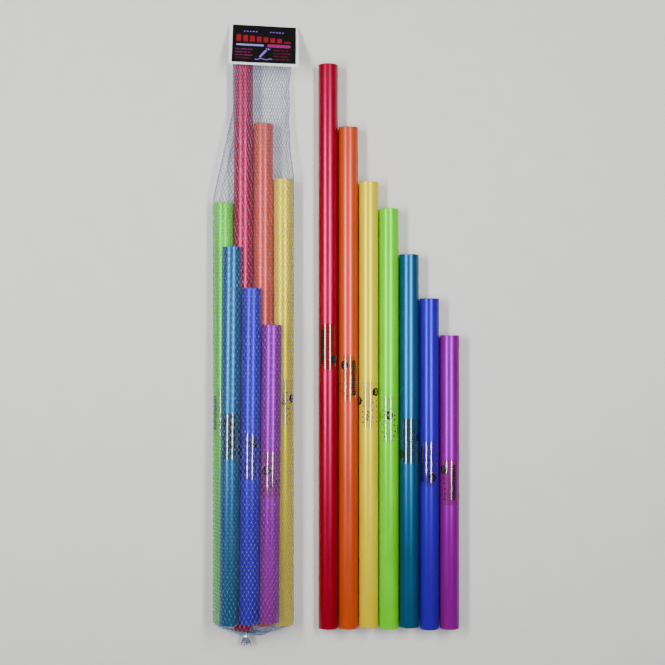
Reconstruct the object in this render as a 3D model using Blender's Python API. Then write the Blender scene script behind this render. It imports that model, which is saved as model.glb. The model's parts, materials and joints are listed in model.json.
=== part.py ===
"""A set of seven tuned percussion tubes, once packed in a net sleeve and once laid out loose.

Metres, +Z up. Every tube lies along Y with its foot towards -Y, on the surface z = 0.
The origin is under the middle of the whole set.
"""
import math
from dataclasses import dataclass

import bmesh
import bpy
from mathutils import Matrix, Vector

MM = 0.001

# Sound: a tube open at both ends speaks at c / 2(L + end correction)
SPEED_OF_SOUND = 343.0
LOWEST_PITCH = 130.81
END_CORRECTION = 0.61

# Tube and the clear label film round its middle
TUBE_OUTER = 44.4 * MM
TUBE_WALL = 1.6 * MM
FILM_LENGTH = 102 * MM
FILM_THICKNESS = 0.2 * MM
FILM_GAP = 0.25 * MM
ROUND_SIDES = 28

# The loose row
ROW_PITCH = 46.2 * MM
ROW_DISTANCE = 309 * MM
ROW_LEVEL = 0.7 * MM

# The bundle: four tubes at the back, three nested on them, leaning to the left at the foot
SIDE_CLEARANCE = 0.2 * MM
NEST_CLEARANCE = 0.5 * MM
BUNDLE_LEAN = 7.4 * MM

# The net sleeve
CELLS_ROUND = 12
ROWS_ALONG = 30
STRAND = 2.2 * MM
FLOOR_STRAND = 1.2 * MM
FLOOR_SAG = 1.3 * MM
SKEW = 1.4
SLEEVE_CLEARANCE = 0.3 * MM
END_CLEARANCE = 1.2 * MM
SHOULDER_TAPER = 190 * MM
STEP_TAPER = 100 * MM
MOUTH_WIDTH = 129 * MM
MOUTH_SHIFT = 3 * MM

# The header card, folded over the mouth of the sleeve and propped open by the longest tube
CARD_WIDTH = 158 * MM
CARD_HEIGHT = 114 * MM
CARD_BOARD = 0.5 * MM
CARD_CLEARANCE = 0.3 * MM
CARD_OVERHANG = 3.4 * MM
CARD_TURN = math.radians(3.1)
CARD_SIDESTEP = 47.5 * MM
CARD_STRAND = 1.1 * MM
CARD_ROWS = 5
NET_FROM_FOLD = 6 * MM

# The clip round the gathered foot, and the tuft beyond it
CLIP_HEIGHT = 22 * MM
CLIP_SHIFT = 5 * MM
CLIP_LENGTH = 11 * MM
CLIP_WALL = 1.3 * MM
CLIP_GAP = 0.3 * MM
CLIP_FROM_TUBE = 8 * MM
NECK_RADIUS = 4.6 * MM
NECK_STRAND = 1.0 * MM
NECK_MARGIN = 1.3 * MM
TUFT_LENGTH = 20 * MM
TUFT_WIDTH = 26 * MM
TUFT_DEPTH = 17 * MM

# Each note: name, semitones above the lowest, colour, foot above the base line in the row
# and in the bundle
NOTES = (
    ("red", 0, "9E0A14", 1.1 * MM, 0.0 * MM),
    ("orange", 2, "C04A10", 1.5 * MM, 9.5 * MM),
    ("yellow", 4, "EED000", 4.5 * MM, 11.3 * MM),
    ("green", 5, "78CC0E", 1.5 * MM, 15.6 * MM),
    ("teal", 7, "064C6E", 4.5 * MM, 20.0 * MM),
    ("blue", 9, "2226A0", 0.0 * MM, 22.5 * MM),
    ("magenta", 11, "84108E", 1.1 * MM, 25.4 * MM),
)
BACK_LAYER = ("green", "red", "orange", "yellow")
FRONT_LAYER = ("teal", "blue", "magenta")

TUBE_RADIUS = TUBE_OUTER / 2
FILM_RADIUS = TUBE_RADIUS + FILM_GAP + FILM_THICKNESS
BUNDLE_PITCH = 2 * FILM_RADIUS + SIDE_CLEARANCE
NEST_REACH = 2 * FILM_RADIUS + NEST_CLEARANCE


@dataclass
class Lie:
    """Where one tube lies: the middle of its foot, the way it points and its length."""
    foot: Vector
    way: Vector
    length: float

    def at(self, y):
        """The point of the tube's axis at the station y."""
        return self.foot + self.way * ((y - self.foot.y) / self.way.y)

    @property
    def top(self):
        return self.foot.y + self.length * self.way.y

    @property
    def middle(self):
        return self.foot + self.way * (self.length / 2)


@dataclass
class Fold:
    """The fold of the header card: its middle, the way across, the way out and the flap's tilt."""
    middle: Vector
    across: Vector
    out: Vector
    tilt: float

    def front(self, a, back, rise):
        """A point over the front flap's slope: so far back from the fold, so far above it."""
        slope = Vector((0, 0, math.sin(self.tilt))) - self.out * math.cos(self.tilt)
        normal = self.out * math.sin(self.tilt) + Vector((0, 0, math.cos(self.tilt)))
        return self.middle + self.across * a + slope * back + normal * rise


def linear(hex_colour):
    """The linear colour of an sRGB hex value."""
    channels = [int(hex_colour[i:i + 2], 16) / 255 for i in (0, 2, 4)]
    return [c / 12.92 if c <= 0.04045 else ((c + 0.055) / 1.055) ** 2.4 for c in channels]


def material(name, hex_colour, roughness, metallic=0.0, alpha=1.0):
    made = bpy.data.materials.get(name)
    if made:
        return made
    made = bpy.data.materials.new(name)
    made.use_nodes = True
    shader = made.node_tree.nodes["Principled BSDF"]
    shader.inputs["Base Color"].default_value = (*linear(hex_colour), 1)
    shader.inputs["Roughness"].default_value = roughness
    shader.inputs["Metallic"].default_value = metallic
    shader.inputs["Alpha"].default_value = alpha
    made.diffuse_color = (*linear(hex_colour), alpha)
    return made


def add_object(name, mesh, finish):
    mesh.materials.append(finish)
    made = bpy.data.objects.new(name, mesh)
    bpy.context.scene.collection.objects.link(made)
    return made


def mesh_from(bm, name, smooth_below=None):
    mesh = bpy.data.meshes.new(name)
    bmesh.ops.recalc_face_normals(bm, faces=bm.faces)
    bm.to_mesh(mesh)
    bm.free()
    if smooth_below:
        mesh.shade_smooth()
        mesh.set_sharp_from_angle(angle=smooth_below)
    return mesh


def lerp(a, b, share):
    return a + (b - a) * share


def note_length(semitones):
    """The length of an open tube that sounds so many semitones above the lowest note."""
    pitch = LOWEST_PITCH * 2 ** (semitones / 12)
    return SPEED_OF_SOUND / (2 * pitch) - END_CORRECTION * TUBE_OUTER


def sleeve_mesh(outer, inner, length, name):
    """A round sleeve along Y about its own middle, with a flat facet underneath."""
    bm = bmesh.new()
    rings = []
    for radius, y in ((outer, -1), (outer, 1), (inner, 1), (inner, -1)):
        ring = []
        for k in range(ROUND_SIDES):
            turn = 2 * math.pi * (k + 0.5) / ROUND_SIDES
            place = (radius * math.sin(turn), y * length / 2, -radius * math.cos(turn))
            ring.append(bm.verts.new(place))
        rings.append(ring)
    for here, there in zip(rings, rings[1:] + rings[:1]):
        for k in range(ROUND_SIDES):
            after = (k + 1) % ROUND_SIDES
            bm.faces.new((here[k], here[after], there[after], there[k]))
    return mesh_from(bm, name, math.radians(40))


def add_tube(group, name, colour, lie):
    """One tube and its label film, both turned to lie along their axis."""
    turn = Vector((0, 1, 0)).rotation_difference(lie.way).to_matrix().to_4x4()
    place = Matrix.Translation(lie.middle) @ turn
    tube = add_object(
        f"tube_{group}_{name}",
        sleeve_mesh(TUBE_RADIUS, TUBE_RADIUS - TUBE_WALL, lie.length, f"tube_{name}"),
        material(f"{name}_plastic", colour, 0.32))
    film = add_object(
        f"label_{group}_{name}",
        sleeve_mesh(FILM_RADIUS, TUBE_RADIUS + FILM_GAP, FILM_LENGTH, f"label_{name}"),
        material("clear_film", "F2F4F6", 0.08, alpha=0.35))
    tube.matrix_world = place
    film.matrix_world = place


def facet_drop():
    """How far a label film's lowest facet lies below its axis."""
    return FILM_RADIUS * math.cos(math.pi / ROUND_SIDES)


def row_lies(lengths):
    """The seven loose tubes, lying side by side."""
    lies = {}
    middle = (len(NOTES) - 1) / 2
    for k, (name, _, _, foot, _) in enumerate(NOTES):
        x = ROW_DISTANCE + (k - middle) * ROW_PITCH
        start = Vector((x, foot + ROW_LEVEL, facet_drop()))
        lies[name] = Lie(start, Vector((0, 1, 0)), lengths[name])
    return lies


def nest_height(offset):
    """How high a front tube lies over the back tube at its left, so far to the side of it."""
    return math.sqrt(NEST_REACH ** 2 - offset ** 2)


def bundle_lies(lengths, level):
    """The four back tubes side by side and the three front tubes in the grooves between."""
    feet = {name: foot for name, _, _, _, foot in NOTES}
    lies = {}
    middle = (len(BACK_LAYER) - 1) / 2
    for k, name in enumerate(BACK_LAYER):
        start = Vector(((k - middle) * BUNDLE_PITCH, feet[name], level))
        lies[name] = Lie(start, Vector((0, 1, 0)), lengths[name])
    longest = lengths[FRONT_LAYER[0]]
    groove = BUNDLE_PITCH / 2
    low = nest_height(groove)
    high = nest_height(groove - BUNDLE_LEAN)
    way = Vector((BUNDLE_LEAN, longest, low - high)).normalized()
    for k, name in enumerate(FRONT_LAYER):
        x = (k - middle + 0.5) * BUNDLE_PITCH - BUNDLE_LEAN
        start = Vector((x, feet[name], level + high))
        lies[name] = Lie(start, way, lengths[name])
    return lies


def hull(points):
    """The convex outline round points of the XZ plane, from the leftmost over the top."""
    ordered = sorted(set(points))

    def chain(run):
        kept = []
        for x, z in run:
            while len(kept) > 1:
                (ax, az), (bx, bz) = kept[-2:]
                if (bx - ax) * (z - az) - (bz - az) * (x - ax) < 0:
                    break
                kept.pop()
            kept.append((x, z))
        return kept

    return chain(ordered)[:-1] + chain(ordered[::-1])[:-1]


def outline_round(circles):
    """The outline of a net drawn tight round circles, each an x, a z and a radius."""
    steps = 48
    points = []
    for x, z, radius in circles:
        for k in range(steps):
            turn = 2 * math.pi * k / steps
            points.append((round(x + radius * math.cos(turn), 7),
                           round(z + radius * math.sin(turn), 7)))
    return hull(points)


def girth(outline):
    return sum(math.dist(p, q) for p, q in zip(outline, outline[1:] + outline[:1]))


def spread(outline, count, phase):
    """Points at even steps along a closed outline, the first a phase of a step along."""
    total = girth(outline)
    legs = list(zip(outline, outline[1:] + outline[:1]))
    points = []
    for k in range(count):
        left = total * (k + phase) / count
        for p, q in legs:
            leg = math.dist(p, q)
            if left <= leg:
                points.append((lerp(p[0], q[0], left / leg), lerp(p[1], q[1], left / leg)))
                break
            left -= leg
    return points


def flat_loop(width, count, phase):
    """Even steps round a flat loop: places across it, each on its upper side, 1, or lower, -1."""
    points = []
    for k in range(count):
        run = 2 * ((k + phase) % count) / count
        side = 0 if run in (0, 1) else 1 if run < 1 else -1
        across = run if run <= 1 else 2 - run
        points.append((width * (across - 0.5), side))
    return points


def oval_loop(width, depth, count, phase):
    steps = [math.pi - 2 * math.pi * (k + phase) / count for k in range(count)]
    return [(width / 2 * math.cos(turn), depth / 2 * math.sin(turn)) for turn in steps]


class Sleeve:
    """The net sleeve round the bundle, from the card at its head to the tuft at its foot."""

    def __init__(self, lengths):
        self.support = FILM_RADIUS + SLEEVE_CLEARANCE + STRAND / 2
        flat = bundle_lies(lengths, 0)
        widest = outline_round([(lie.foot.x, lie.foot.z, self.support)
                                for lie in flat.values()])
        # A straight strand between two crossings cuts inside the round of a tube by its bow,
        # and by more where it runs askew past the end of another tube
        self.bow = SKEW * (girth(widest) / (2 * CELLS_ROUND)) ** 2 / (8 * self.support)
        self.support += self.bow
        self.level = FILM_RADIUS + SLEEVE_CLEARANCE + FLOOR_SAG + FLOOR_STRAND
        self.lies = bundle_lies(lengths, self.level)
        self.longest = self.lies["red"]
        self.row_step = (self.longest.length + 2 * END_CLEARANCE + STRAND) / ROWS_ALONG
        self.fold = self.card_fold()
        self.clip_at = Vector((self.longest.foot.x + CLIP_SHIFT,
                               self.longest.foot.y - CLIP_FROM_TUBE - CLIP_LENGTH / 2,
                               CLIP_HEIGHT))

    def card_fold(self):
        """Where the card's fold lies, with its front flap resting over the longest tube's end."""
        inner = card_bend()
        head = self.longest.at(self.longest.top)
        crest = head.z + self.support + STRAND / 2 + CARD_CLEARANCE
        reach = CARD_OVERHANG + END_CLEARANCE + STRAND
        level = CARD_BOARD + inner
        tilt = 0.0
        for _ in range(20):
            lip = crest + reach * math.tan(tilt)
            tilt = math.asin((lip - level - inner * math.cos(tilt)) / CARD_HEIGHT)
        across = Vector((math.cos(CARD_TURN), -math.sin(CARD_TURN), 0))
        out = Vector((math.sin(CARD_TURN), math.cos(CARD_TURN), 0))
        lip_at_tube = Vector((head.x, head.y - CARD_OVERHANG, level))
        middle = lip_at_tube + across * (CARD_SIDESTEP / math.cos(CARD_TURN))
        middle += out * (CARD_HEIGHT * math.cos(tilt) - inner * math.sin(tilt))
        return Fold(middle, across, out, tilt)

    def back_lip(self):
        """How long the back flap is: it ends just beyond the last row that rests on the floor."""
        head = self.longest.at(self.longest.top)
        turned = (self.fold.middle - head).dot(self.fold.out)
        return turned - END_CLEARANCE - STRAND - CARD_CLEARANCE - CARD_SIDESTEP * math.sin(CARD_TURN)

    def circles(self, y):
        """What holds the net open at the station y: tubes, and beyond their ends its own slope."""
        reach = self.row_step
        head_y = self.longest.top
        mouth_right = self.fold.middle.x - MOUTH_SHIFT + MOUTH_WIDTH / 2
        found = []
        for name, lie in self.lies.items():
            centre = lie.at(min(max(y, lie.foot.y), lie.top))
            past = y - lie.top - reach
            radius = self.support
            if past > 0 and name in FRONT_LAYER:
                share = min(1, past / STEP_TAPER)
                centre.z = lerp(centre.z, self.level, share)
                if share == 1:
                    continue
            elif past > 0 and name == BACK_LAYER[0]:
                share = min(1, past / SHOULDER_TAPER)
                centre.x = lerp(centre.x, self.longest.foot.x, share)
            elif past > 0 and name != "red":
                share = min(1, past / (head_y - lie.top - reach))
                radius = lerp(self.support, self.support / 3, share)
                if name == BACK_LAYER[-1]:
                    centre.x = lerp(centre.x + self.support, mouth_right, share) - radius
                centre.z = self.level - self.support + radius
            found.append((centre.x, centre.z, radius))
        return found

    def row_at_fold(self, phase):
        """The last row of crossings, flat between the card's flaps near the fold."""
        rise = (CARD_STRAND + CARD_CLEARANCE) / 2
        points = []
        for a, side in flat_loop(MOUTH_WIDTH, CELLS_ROUND, phase):
            upper = self.fold.front(a - MOUTH_SHIFT, NET_FROM_FOLD, rise)
            lower = self.fold.middle + self.fold.across * (a - MOUTH_SHIFT)
            lower -= self.fold.out * NET_FROM_FOLD + Vector((0, 0, rise))
            points.append(lower.lerp(upper, (side + 1) / 2))
        return points

    def rows(self):
        """Every row of crossings from head to foot: its points, and its strands' thickness."""
        rows = []

        def phase():
            return 0.5 * (len(rows) % 2)

        start = self.longest.top + END_CLEARANCE + STRAND / 2
        lowest = CARD_BOARD + CARD_CLEARANCE + STRAND / 2
        for k in range(CARD_ROWS):
            flat = self.row_at_fold(phase())
            full = spread(outline_round(self.circles(start)), CELLS_ROUND, phase())
            share = k / CARD_ROWS
            points = [there.lerp(Vector((x, start, max(z, lowest))), share)
                      for (x, z), there in zip(full, flat)]
            rows.append((points, lerp(CARD_STRAND, STRAND, share)))
        for k in range(ROWS_ALONG + 1):
            y = start - k * self.row_step
            loop = spread(outline_round(self.circles(y)), CELLS_ROUND, phase())
            floor = lowest if k == 0 else FLOOR_STRAND / 2
            rows.append(([Vector((x, y, max(z, floor))) for x, z in loop], STRAND))
        neck_head = self.clip_at.y + CLIP_LENGTH / 2 + NECK_MARGIN
        neck_foot = self.clip_at.y - CLIP_LENGTH / 2 - NECK_MARGIN
        last = outline_round(self.circles(y))
        narrow = oval_loop(2 * NECK_RADIUS, 2 * NECK_RADIUS, CELLS_ROUND, phase())
        points = []
        for (x, z), (a, n) in zip(spread(last, CELLS_ROUND, phase()), narrow):
            points.append(Vector((lerp(x, self.clip_at.x + a, 0.55), (y + neck_head) / 2,
                                  lerp(z, self.clip_at.z + n, 0.55))))
        rows.append((points, STRAND))
        for y, width, depth, strand in (
                (neck_head, 2 * NECK_RADIUS, 2 * NECK_RADIUS, NECK_STRAND),
                (self.clip_at.y, 2 * NECK_RADIUS, 2 * NECK_RADIUS, NECK_STRAND),
                (neck_foot, 2 * NECK_RADIUS, 2 * NECK_RADIUS, NECK_STRAND),
                (neck_foot - 0.45 * TUFT_LENGTH, 0.75 * TUFT_WIDTH, 0.75 * TUFT_DEPTH, NECK_STRAND),
                (neck_foot - TUFT_LENGTH, TUFT_WIDTH, TUFT_DEPTH, NECK_STRAND)):
            loop = oval_loop(width, depth, CELLS_ROUND, phase())
            points = [Vector((self.clip_at.x + a, y, self.clip_at.z + n)) for a, n in loop]
            rows.append((points, strand))
        return rows

    def add(self):
        """The net as one lattice: a diamond between each crossing and the one two rows on."""
        rows = self.rows()
        bm = bmesh.new()
        weights = bm.verts.layers.deform.verify()
        grid = []
        for points, strand in rows:
            ring = []
            for point in points:
                crossing = bm.verts.new(point)
                crossing[weights][0] = min(strand, 2 * point.z) / STRAND
                ring.append(crossing)
            grid.append(ring)
        for i in range(len(grid) - 2):
            shift = i % 2
            for k in range(CELLS_ROUND):
                ahead = grid[i + 1][(k + shift) % CELLS_ROUND]
                behind = grid[i + 1][(k - 1 + shift) % CELLS_ROUND]
                bm.faces.new((grid[i][k], ahead, grid[i + 2][k], behind))
        mesh = mesh_from(bm, "net_sleeve")
        net = add_object("net_sleeve", mesh, material("net_plastic", "C9D4E6", 0.45))
        net.vertex_groups.new(name="thickness")
        strands = net.modifiers.new("strands", "WIREFRAME")
        strands.thickness = STRAND
        strands.offset = 0
        strands.use_boundary = True
        strands.use_replace = True
        strands.use_even_offset = False
        strands.use_relative_offset = False
        strands.vertex_group = "thickness"
        strands.thickness_vertex_group = 0
        return net


def card_bend():
    """The inner radius of the card's fold, which has room for two layers of net."""
    return CARD_STRAND + 1.5 * CARD_CLEARANCE


def add_card(fold, back_lip):
    """One board: a back flap flat on the floor, a round fold and a front flap that rises."""
    inner = card_bend()
    outer = inner + CARD_BOARD
    tilt = fold.tilt
    steps = 8
    turns = [-math.pi / 2 + (math.pi - tilt) * k / steps for k in range(steps + 1)]
    rise = Vector((-math.cos(tilt), math.sin(tilt)))
    normal = Vector((math.sin(tilt), math.cos(tilt)))

    def side(radius):
        """One face of the board, from the back flap's lip round the fold to the front lip."""
        arc = [Vector((math.cos(t), math.sin(t))) * radius for t in turns]
        return [Vector((-back_lip, -radius)), *arc, rise * CARD_HEIGHT + normal * radius]

    profile = side(outer) + side(inner)[::-1]
    bm = bmesh.new()
    left = [bm.verts.new((-CARD_WIDTH / 2, b, n)) for b, n in profile]
    right = [bm.verts.new((CARD_WIDTH / 2, b, n)) for b, n in profile]
    count = len(profile)
    for k in range(count):
        after = (k + 1) % count
        bm.faces.new((left[k], left[after], right[after], right[k]))
    for edge in (left, right):
        for k in range(count // 2 - 1):
            bm.faces.new((edge[k], edge[k + 1], edge[count - 2 - k], edge[count - 1 - k]))
    card = add_object("header_card", mesh_from(bm, "header_card", math.radians(30)),
                      material("card_board", "16141A", 0.5))
    turn = Matrix((fold.across, fold.out, Vector((0, 0, 1)))).transposed().to_4x4()
    card.matrix_world = Matrix.Translation(fold.middle) @ turn


def add_clip(sleeve):
    """A strip of soft metal crimped round the gathered net: a split ring with rolled edges."""
    inner = NECK_RADIUS + NECK_STRAND / 2 + CLIP_GAP
    outer = inner + CLIP_WALL
    roll = CLIP_WALL * 0.45
    half = CLIP_LENGTH / 2
    profile = [(outer - roll, -half), (outer, -half + roll), (outer - roll, -half * 0.3),
               (outer, 0), (outer - roll, half * 0.3), (outer, half - roll),
               (outer - roll, half), (inner, half), (inner, -half)]
    steps = 20
    split = math.radians(16)
    bm = bmesh.new()
    rings = []
    for k in range(steps + 1):
        turn = -math.pi / 2 + split / 2 + (2 * math.pi - split) * k / steps
        rings.append([bm.verts.new((r * math.cos(turn), y, r * math.sin(turn)))
                      for r, y in profile])
    for here, there in zip(rings, rings[1:]):
        for k in range(len(profile)):
            after = (k + 1) % len(profile)
            bm.faces.new((here[k], here[after], there[after], there[k]))
    bm.faces.new(rings[0])
    bm.faces.new(rings[-1])
    clip = add_object("net_clip", mesh_from(bm, "net_clip", math.radians(40)),
                      material("clip_aluminium", "C6CED6", 0.35, 1.0))
    clip.location = sleeve.clip_at


def centre_on_origin():
    """Move the whole set so that the middle of its box stands on the origin."""
    bpy.context.view_layer.update()
    graph = bpy.context.evaluated_depsgraph_get()
    corners = []
    shown = [ob for ob in bpy.context.scene.objects if not ob.hide_render]
    for ob in shown:
        mesh = ob.evaluated_get(graph).to_mesh()
        corners += [ob.matrix_world @ vertex.co for vertex in mesh.vertices]
    low = Vector([min(p[axis] for p in corners) for axis in range(3)])
    high = Vector([max(p[axis] for p in corners) for axis in range(3)])
    shift = Vector((-(low.x + high.x) / 2, -(low.y + high.y) / 2, -low.z))
    for ob in bpy.context.scene.objects:
        ob.matrix_world = Matrix.Translation(shift) @ ob.matrix_world
    bpy.context.view_layer.update()


def main():
    for ob in list(bpy.data.objects):
        bpy.data.objects.remove(ob)
    lengths = {name: note_length(semitones) for name, semitones, *_ in NOTES}
    sleeve = Sleeve(lengths)
    row = row_lies(lengths)
    for name, _, colour, _, _ in NOTES:
        add_tube("packed", name, colour, sleeve.lies[name])
        add_tube("loose", name, colour, row[name])
    sleeve.add()
    add_card(sleeve.fold, sleeve.back_lip())
    add_clip(sleeve)
    centre_on_origin()


main()
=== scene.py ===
"""Looks of a set of seven tuned percussion tubes, once packed in a net and once laid out loose.

Metres, +Z up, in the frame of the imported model: the tubes lie along Y, on the surface z = 0.
Prints are drawn in millimetres.
"""
import json
import logging
import random
from dataclasses import dataclass, field
from enum import Enum
from functools import cache
from math import atan2, ceil, cos, exp, hypot, pi, radians, sin, sqrt, tan
from typing import Callable, Iterable

import bmesh
import bpy
import numpy as np
from mathutils import Matrix, Vector


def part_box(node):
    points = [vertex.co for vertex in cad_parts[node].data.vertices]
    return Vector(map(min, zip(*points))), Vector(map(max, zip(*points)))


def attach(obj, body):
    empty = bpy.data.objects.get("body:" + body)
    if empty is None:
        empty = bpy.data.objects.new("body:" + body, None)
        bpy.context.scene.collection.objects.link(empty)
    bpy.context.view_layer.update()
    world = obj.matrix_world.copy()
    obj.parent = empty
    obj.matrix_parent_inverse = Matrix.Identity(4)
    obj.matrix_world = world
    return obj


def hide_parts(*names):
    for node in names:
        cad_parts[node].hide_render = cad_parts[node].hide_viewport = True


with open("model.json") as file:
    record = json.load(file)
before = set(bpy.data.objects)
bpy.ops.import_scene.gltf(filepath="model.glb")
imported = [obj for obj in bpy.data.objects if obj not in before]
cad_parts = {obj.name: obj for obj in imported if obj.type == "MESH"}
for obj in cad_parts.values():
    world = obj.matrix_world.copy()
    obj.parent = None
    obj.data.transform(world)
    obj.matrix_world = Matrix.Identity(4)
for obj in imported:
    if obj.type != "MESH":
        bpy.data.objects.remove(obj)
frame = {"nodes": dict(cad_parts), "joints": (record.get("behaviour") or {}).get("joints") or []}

MM = 0.001
TURN = 2 * pi
LOG = logging.getLogger("tubes")

Point2 = tuple[float, float]
Point3 = tuple[float, float, float]
BMesh, Mesh, Object = bmesh.types.BMesh, bpy.types.Mesh, bpy.types.Object
Node, Tree = bpy.types.Node, bpy.types.NodeTree


class Group(Enum):
    """The two places where the set is shown."""
    PACKED = "packed"
    LOOSE = "loose"


class Note(Enum):
    """The seven tubes: name in the frame, numeral on the label, plastic's colour, gloss's hue."""
    RED = "red", 1, "7E0006", "FF3F90"
    ORANGE = "orange", 2, "B04006", "FF6478"
    YELLOW = "yellow", 3, "D2BA00", "FFF400"
    GREEN = "green", 4, "60CC00", "58FF28"
    TEAL = "teal", 5, "103C54", "46A6FF"
    BLUE = "blue", 6, "2A008C", "3C44FF"
    MAGENTA = "magenta", 7, "74006C", "B000FF"

    def __init__(self, word: str, numeral: int, colour: str, gloss_hue: str) -> None:
        """Name the parts of a tube's value."""
        self.word, self.numeral, self.colour, self.gloss_hue = word, numeral, colour, gloss_hue


BACK_LAYER = (Note.GREEN, Note.RED, Note.ORANGE, Note.YELLOW)
FRONT_LAYER = (Note.TEAL, Note.BLUE, Note.MAGENTA)


def linear(hex_colour: str) -> tuple[float, float, float, float]:
    """Turn an sRGB hex value into a linear colour.

    Args:
        hex_colour: six hex digits.

    Returns:
        Red, green, blue and an alpha of one.
    """
    channels = [part / 255 for part in bytes.fromhex(hex_colour)]
    bright = [c / 12.92 if c <= 0.04045 else ((c + 0.055) / 1.055) ** 2.4 for c in channels]
    return (*bright, 1.0)


def shade(hex_colour: str, share: float) -> str:
    """A colour scaled in brightness, as hex."""
    return "".join(f"{min(255, round(part * share)):02X}" for part in bytes.fromhex(hex_colour))


def lerp(a: float, b: float, share: float) -> float:
    """The value that lies so far from a to b."""
    return a + (b - a) * share


def smooth(share: float) -> float:
    """A share clamped to 0..1 and eased at both ends."""
    held = min(1.0, max(0.0, share))
    return held * held * (3 - 2 * held)


def ring(centre: Point2, radius: float, count: int) -> list[Point2]:
    """Points at even steps round a circle."""
    turns = [TURN * k / count for k in range(count)]
    return [(centre[0] + radius * cos(t), centre[1] + radius * sin(t)) for t in turns]


def add_node(tree: Tree, kind: str, values: dict | None = None,
             links: dict | None = None, **settings: object) -> Node:
    """Add a node to a tree with its settings, its own values and its links.

    Args:
        tree: the tree that gets the node.
        kind: the node's type name.
        values: input name or index to the value set on the node's own socket.
        links: input name or index to what feeds it, a socket or the node whose first output does.
        settings: the node's own options.

    Returns:
        The new node.
    """
    made = tree.nodes.new(kind)
    for name, value in settings.items():
        setattr(made, name, value)
    for name, value in (values or {}).items():
        made.inputs[name].default_value = value
    for name, source in (links or {}).items():
        socket = source.outputs[0] if isinstance(source, Node) else source
        tree.links.new(socket, made.inputs[name])
    return made


@dataclass(frozen=True)
class Grain:
    """Noise in a surface: its real size along X, Y and Z in mm, and what it changes.

    Tint scales the colour's brightness and wear adds to the roughness, each at the noise's low
    and high end. Relief is a height in mm. Shift moves the noise so that two grains differ.
    """
    size: Point3
    detail: float
    shift: float = 0.0
    tint: Point2 | None = None
    wear: Point2 | None = None
    relief: float = 0.0
    tint_ends: Point2 = (0.32, 0.68)
    wear_ends: Point2 = (0.3, 0.7)
    relief_strength: float = 0.6


@dataclass(frozen=True)
class Finish:
    """One real material: its colour, its surface, the grains in it and any clear coat on it.

    The gloss hue is what light takes on as it glances off. The coat is a weight, a roughness and
    an IOR. The cover is how opaque a see-through finish is, face on and at its edges.
    """
    name: str
    colour: str
    roughness: float
    ior: float = 1.5
    metallic: float = 0.0
    gloss: float = 0.5
    gloss_hue: str = "FFFFFF"
    coat: Point3 = (0.0, 0.03, 1.5)
    grains: tuple[Grain, ...] = ()
    cover: Point2 | None = None

    @cache
    def material(self) -> bpy.types.Material:
        """Make the material, the first time that it is asked for.

        Returns:
            The Blender material of this finish.
        """
        made = bpy.data.materials.new(self.name)
        made.use_nodes = True
        made.diffuse_color = linear(self.colour)
        tree = made.node_tree
        shader = tree.nodes["Principled BSDF"]
        values = {"Base Color": linear(self.colour), "Roughness": self.roughness, "IOR": self.ior,
                  "Metallic": self.metallic, "Specular IOR Level": self.gloss,
                  "Specular Tint": linear(self.gloss_hue), "Coat Weight": self.coat[0],
                  "Coat Roughness": self.coat[1], "Coat IOR": self.coat[2]}
        for name, value in values.items():
            shader.inputs[name].default_value = value
        for grain in self.grains:
            self.add_grain(tree, shader, grain)
        if self.cover:
            edge = add_node(tree, "ShaderNodeLayerWeight", {"Blend": 0.5})
            cover = add_node(tree, "ShaderNodeMapRange",
                             {"To Min": self.cover[0], "To Max": self.cover[1]},
                             {"Value": edge.outputs["Facing"]})
            tree.links.new(cover.outputs["Result"], shader.inputs["Alpha"])
        return made

    def add_grain(self, tree: Tree, shader: Node, grain: Grain) -> None:
        """Run a grain, on object coordinates, into the colour, the roughness and the relief.

        Args:
            tree: the material's tree.
            shader: its Principled node.
            grain: what is added.
        """
        place = add_node(tree, "ShaderNodeTexCoord")
        mapping = add_node(tree, "ShaderNodeMapping",
                           {"Scale": tuple(1 / (size * MM) for size in grain.size),
                            "Location": (grain.shift, grain.shift, 0)},
                           {"Vector": place.outputs["Object"]})
        noise = add_node(tree, "ShaderNodeTexNoise", {"Scale": 1.0, "Detail": grain.detail},
                         {"Vector": mapping})
        if grain.tint:
            ramp = add_node(tree, "ShaderNodeValToRGB", links={"Fac": noise})
            for stop, end, share in zip(ramp.color_ramp.elements, grain.tint_ends, grain.tint):
                stop.position = end
                stop.color = linear(shade(self.colour, share))
            tree.links.new(ramp.outputs["Color"], shader.inputs["Base Color"])
        if grain.wear:
            (start, end), (low, high) = grain.wear_ends, grain.wear
            spread = add_node(tree, "ShaderNodeMapRange",
                              {"From Min": start, "From Max": end,
                               "To Min": self.roughness + low, "To Max": self.roughness + high},
                              {"Value": noise})
            tree.links.new(spread.outputs["Result"], shader.inputs["Roughness"])
        if grain.relief:
            bump = add_node(tree, "ShaderNodeBump", {"Strength": grain.relief_strength,
                                                     "Distance": grain.relief * MM},
                            {"Height": noise})
            tree.links.new(bump.outputs["Normal"], shader.inputs["Normal"])


@dataclass(frozen=True)
class ExtrudedTube(Finish):
    """Extruded polypropylene, coloured through: satin, with faint draw lines along the tube.

    The lines of the die are 1.4 mm apart, coarser than real ones so that they show. The gloss
    takes on some of the pigment's colour, as light that enters the skin does.
    """
    roughness: float = 0.33
    ior: float = 1.49
    gloss: float = 1.0
    grains: tuple[Grain, ...] = (
        Grain((1.4, 180, 1.4), 2, relief=0.012),
        Grain((30, 120, 30), 3, 7, tint=(0.96, 1.03), wear=(-0.02, 0.03)))


@dataclass(frozen=True)
class LabelFilm(Finish):
    """Clear polyester film on a tube: the plastic, slightly darker, under a hard glossy coat."""
    roughness: float = 0.33
    ior: float = 1.49
    gloss: float = 0.05
    coat: Point3 = (0.6, 0.035, 1.6)
    grains: tuple[Grain, ...] = (Grain((30, 120, 30), 3, 7, tint=(0.92, 0.99)),)


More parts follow.
